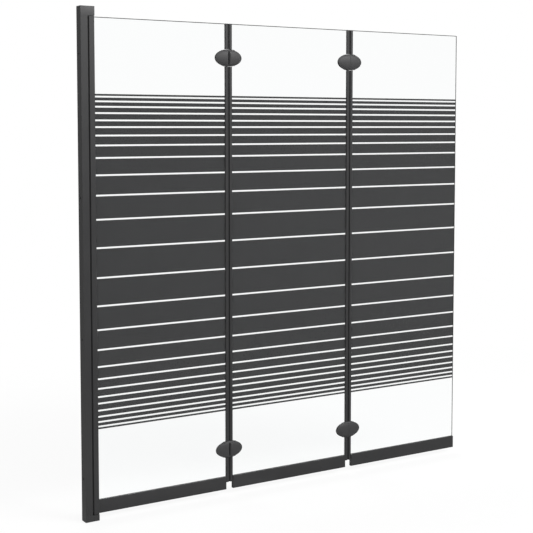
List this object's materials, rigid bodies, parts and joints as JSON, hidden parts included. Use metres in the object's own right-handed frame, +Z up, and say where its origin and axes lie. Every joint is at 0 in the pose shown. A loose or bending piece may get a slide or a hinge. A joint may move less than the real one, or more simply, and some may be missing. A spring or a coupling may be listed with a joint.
{
  "type": "folding shower enclosure",
  "caption": "Folding bath screen: black wall profile with a pivot, clear glass panels with printed dark stripes, oval folding hinges and bottom rails.",
  "frame": {"origin": "foot of the wall face, in the middle plane of the glass", "axes": "+X along the closed screen away from the wall, +Y away from the viewer of the front, +Z up"},
  "size_m": [1.3, 0.027, 1.38],
  "materials": {
    "black_profile": "matt black powder coat on extruded aluminium",
    "black_cap": "matt black moulded",
    "black_hinge": "satin black coat on zinc casting",
    "clear_glass": "clear toughened safety glass with ground edges",
    "ceramic_print": "dark fired print on the glass",
    "black_rubber": "black soft seal",
    "nylon": "black nylon",
    "steel": "stainless steel"
  },
  "bodies": {
    "wall_frame": {"bottom_cap": "black_cap", "cap_screws": "steel", "pivot_pins": "steel", "top_cap": "black_cap", "wall_profile": "black_profile"},
    "panel_1": {"barrel_bushes_1": "nylon", "bottom_rail_1": "black_profile", "clamp_gasket_1": "black_rubber", "clamp_plate_1": "black_hinge", "clamp_screws_1": "steel", "drip_strip_1": "black_rubber", "edge_profile_1": "black_profile", "glass_1": "clear_glass", "glazing_gasket": "black_rubber", "hinge_leaf_1": "black_hinge", "joint_seal_1": "black_rubber", "pivot_plugs": "nylon", "pivot_profile": "black_profile", "print_1": "ceramic_print"},
    "link_1": {"hinge_links_1": "black_hinge", "hinge_pins_1": "steel"},
    "panel_2": {"barrel_bushes_2_free_side": "nylon", "barrel_bushes_2_wall_side": "nylon", "bottom_rail_2": "black_profile", "clamp_gasket_2_free_side": "black_rubber", "clamp_gasket_2_wall_side": "black_rubber", "clamp_plate_2_free_side": "black_hinge", "clamp_plate_2_wall_side": "black_hinge", "clamp_screws_2_free_side": "steel", "clamp_screws_2_wall_side": "steel", "drip_strip_2": "black_rubber", "edge_profile_2_free_side": "black_profile", "edge_profile_2_wall_side": "black_profile", "glass_2": "clear_glass", "hinge_leaf_2_free_side": "black_hinge", "hinge_leaf_2_wall_side": "black_hinge", "joint_seal_2": "black_rubber", "print_2": "ceramic_print"},
    "link_2": {"hinge_links_2": "black_hinge", "hinge_pins_2": "steel"},
    "panel_3": {"barrel_bushes_3": "nylon", "bottom_rail_3": "black_profile", "clamp_gasket_3": "black_rubber", "clamp_plate_3": "black_hinge", "clamp_screws_3": "steel", "drip_strip_3": "black_rubber", "edge_profile_3": "black_profile", "glass_3": "clear_glass", "hinge_leaf_3": "black_hinge", "print_3": "ceramic_print"}
  },
  "joints": [
    {"name": "wall_pivot", "type": "hinge", "parent": "wall_frame", "child": "panel_1", "pos_m": [0.03, 0, 0], "axis": [0, 0, 1], "range_deg": [-90, 90]},
    {"name": "fold_1", "type": "hinge", "parent": "panel_1", "child": "link_1", "pos_m": [0.44433, 0, 0], "axis": [0, 0, 1], "range_deg": [-88, 0]},
    {"name": "fold_1_outer", "type": "hinge", "parent": "link_1", "child": "panel_2", "pos_m": [0.46233, 0, 0], "axis": [0, 0, 1], "range_deg": [-88, 0]},
    {"name": "fold_2", "type": "hinge", "parent": "panel_2", "child": "link_2", "pos_m": [0.86767, 0, 0], "axis": [0, 0, 1], "range_deg": [0, 88]},
    {"name": "fold_2_outer", "type": "hinge", "parent": "link_2", "child": "panel_3", "pos_m": [0.88567, 0, 0], "axis": [0, 0, 1], "range_deg": [0, 88]}
  ],
  "couplings": [
    {"joint": "fold_1_outer", "follows": "fold_1", "ratio": 1},
    {"joint": "fold_2_outer", "follows": "fold_2", "ratio": 1}
  ]
}
